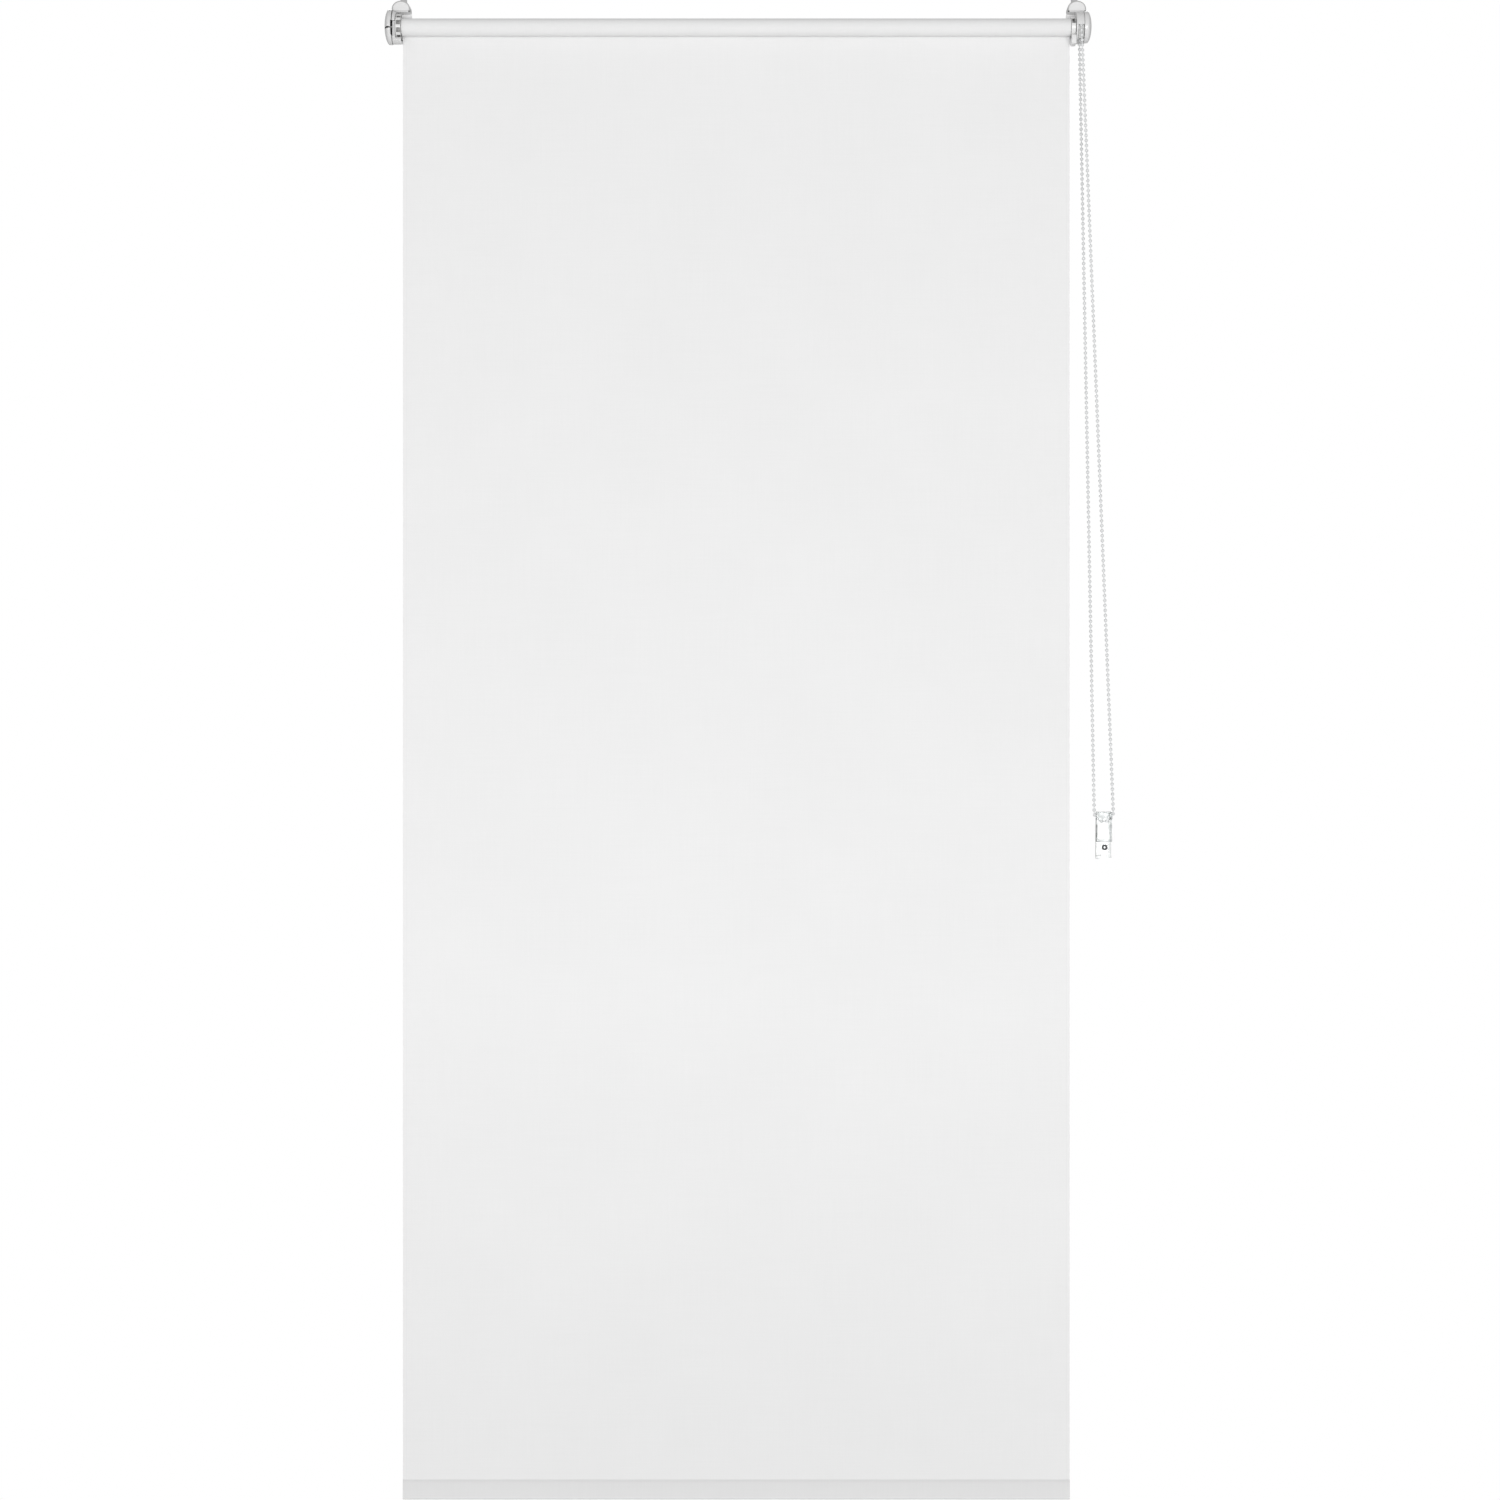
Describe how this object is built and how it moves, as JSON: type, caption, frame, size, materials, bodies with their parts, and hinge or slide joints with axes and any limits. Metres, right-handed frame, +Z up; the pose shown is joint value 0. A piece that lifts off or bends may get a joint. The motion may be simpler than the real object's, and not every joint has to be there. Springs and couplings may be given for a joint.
{
  "type": "roller blind",
  "caption": "Clamp-on window roller blind with a light cloth, weighted hem, chain drive with a wrap-spring clutch and a clear chain tensioner.",
  "frame": {"origin": "mid width between the end brackets, on the front face of the window sash, level with the roller's axis", "axes": "+X towards the chain side, +Y into the window (the blind hangs on the -Y side, the room side), +Z up"},
  "size_m": [0.7236, 0.0775, 1.4953],
  "materials": {
    "white_plastic": "satin moulded",
    "cover_plastic": "semi-gloss moulded",
    "running_plastic": "satin, self-lubricating",
    "grip_pad": "soft ribbed rubber",
    "blind_cloth": "plain-woven coated polyester, translucent",
    "tube_aluminium": "drawn",
    "bar_steel": "zinc plated",
    "bright_steel": "bright spring wire and screws",
    "bead_chain": "moulded beads on a cord",
    "clear_plastic": "clear polycarbonate"
  },
  "bodies": {
    "root": {"left_clamp_hook": "white_plastic", "left_front_pad": "grip_pad", "right_clamp_hook": "white_plastic", "right_front_pad": "grip_pad", "idle_bracket": "white_plastic", "idle_cover": "cover_plastic", "drive_bracket": "white_plastic", "drive_cover": "cover_plastic", "chain_guard": "cover_plastic", "clutch_core": "running_plastic", "core_screw": "bright_steel", "pin_spring": "bright_steel", "hanging_fabric": "blind_cloth", "chain_wheel_wrap": "bead_chain", "chain_front_strand": "bead_chain", "chain_bottom_turn": "bead_chain", "chain_back_strand": "bead_chain", "tensioner_base": "clear_plastic", "tensioner_cover": "clear_plastic", "tensioner_screw": "bright_steel"},
    "roller": {"roller_tube": "tube_aluminium", "fabric_roll": "blind_cloth", "idle_plug": "running_plastic", "drive_coupler": "running_plastic", "chain_wheel": "running_plastic", "clutch_spring": "bright_steel"},
    "adjuster": {"adjuster_ring": "running_plastic"},
    "idle_pin": {"idle_pin": "running_plastic"},
    "bottom_bar": {"hem_pocket": "blind_cloth", "weight_bar": "bar_steel"},
    "left_jaw": {"left_clamp_jaw": "white_plastic", "left_jaw_pad": "grip_pad"},
    "left_screw": {"left_locking_screw": "white_plastic"},
    "right_jaw": {"right_clamp_jaw": "white_plastic", "right_jaw_pad": "grip_pad"},
    "right_screw": {"right_locking_screw": "white_plastic"}
  },
  "joints": [
    {"name": "blind_lift", "type": "slide", "parent": "root", "child": "bottom_bar", "axis": [0, 0, 1], "range_m": [0, 1.4], "deforming": ["hanging_fabric"]},
    {"name": "roller_spin", "type": "hinge", "parent": "root", "child": "roller", "pos_m": [0, -0.022, 0], "axis": [1, 0, 0], "range_deg": [0, 6275]},
    {"name": "adjuster_turn", "type": "hinge", "parent": "roller", "child": "adjuster", "pos_m": [-0.3334, -0.022, 0], "axis": [1, 0, 0], "range_deg": [-360, 360]},
    {"name": "idle_pin_slide", "type": "slide", "parent": "root", "child": "idle_pin", "axis": [1, 0, 0], "range_m": [0, 0.008], "stiffness_N_per_m": 300, "springref_m": -0.004, "deforming": ["pin_spring"]},
    {"name": "left_jaw_slide", "type": "slide", "parent": "root", "child": "left_jaw", "axis": [0, 1, 0], "range_m": [-0.008, 0.007]},
    {"name": "left_screw_turn", "type": "hinge", "parent": "left_jaw", "child": "left_screw", "pos_m": [-0.3321, 0.01, 0.03], "axis": [0, 0, 1], "range_deg": [-360, 360]},
    {"name": "right_jaw_slide", "type": "slide", "parent": "root", "child": "right_jaw", "axis": [0, 1, 0], "range_m": [-0.008, 0.007]},
    {"name": "right_screw_turn", "type": "hinge", "parent": "right_jaw", "child": "right_screw", "pos_m": [0.3373, 0.01, 0.03], "axis": [0, 0, 1], "range_deg": [-360, 360]}
  ],
  "couplings": [
    {"joint": "roller_spin", "follows": "blind_lift", "rad_per_m": 78.219}
  ]
}
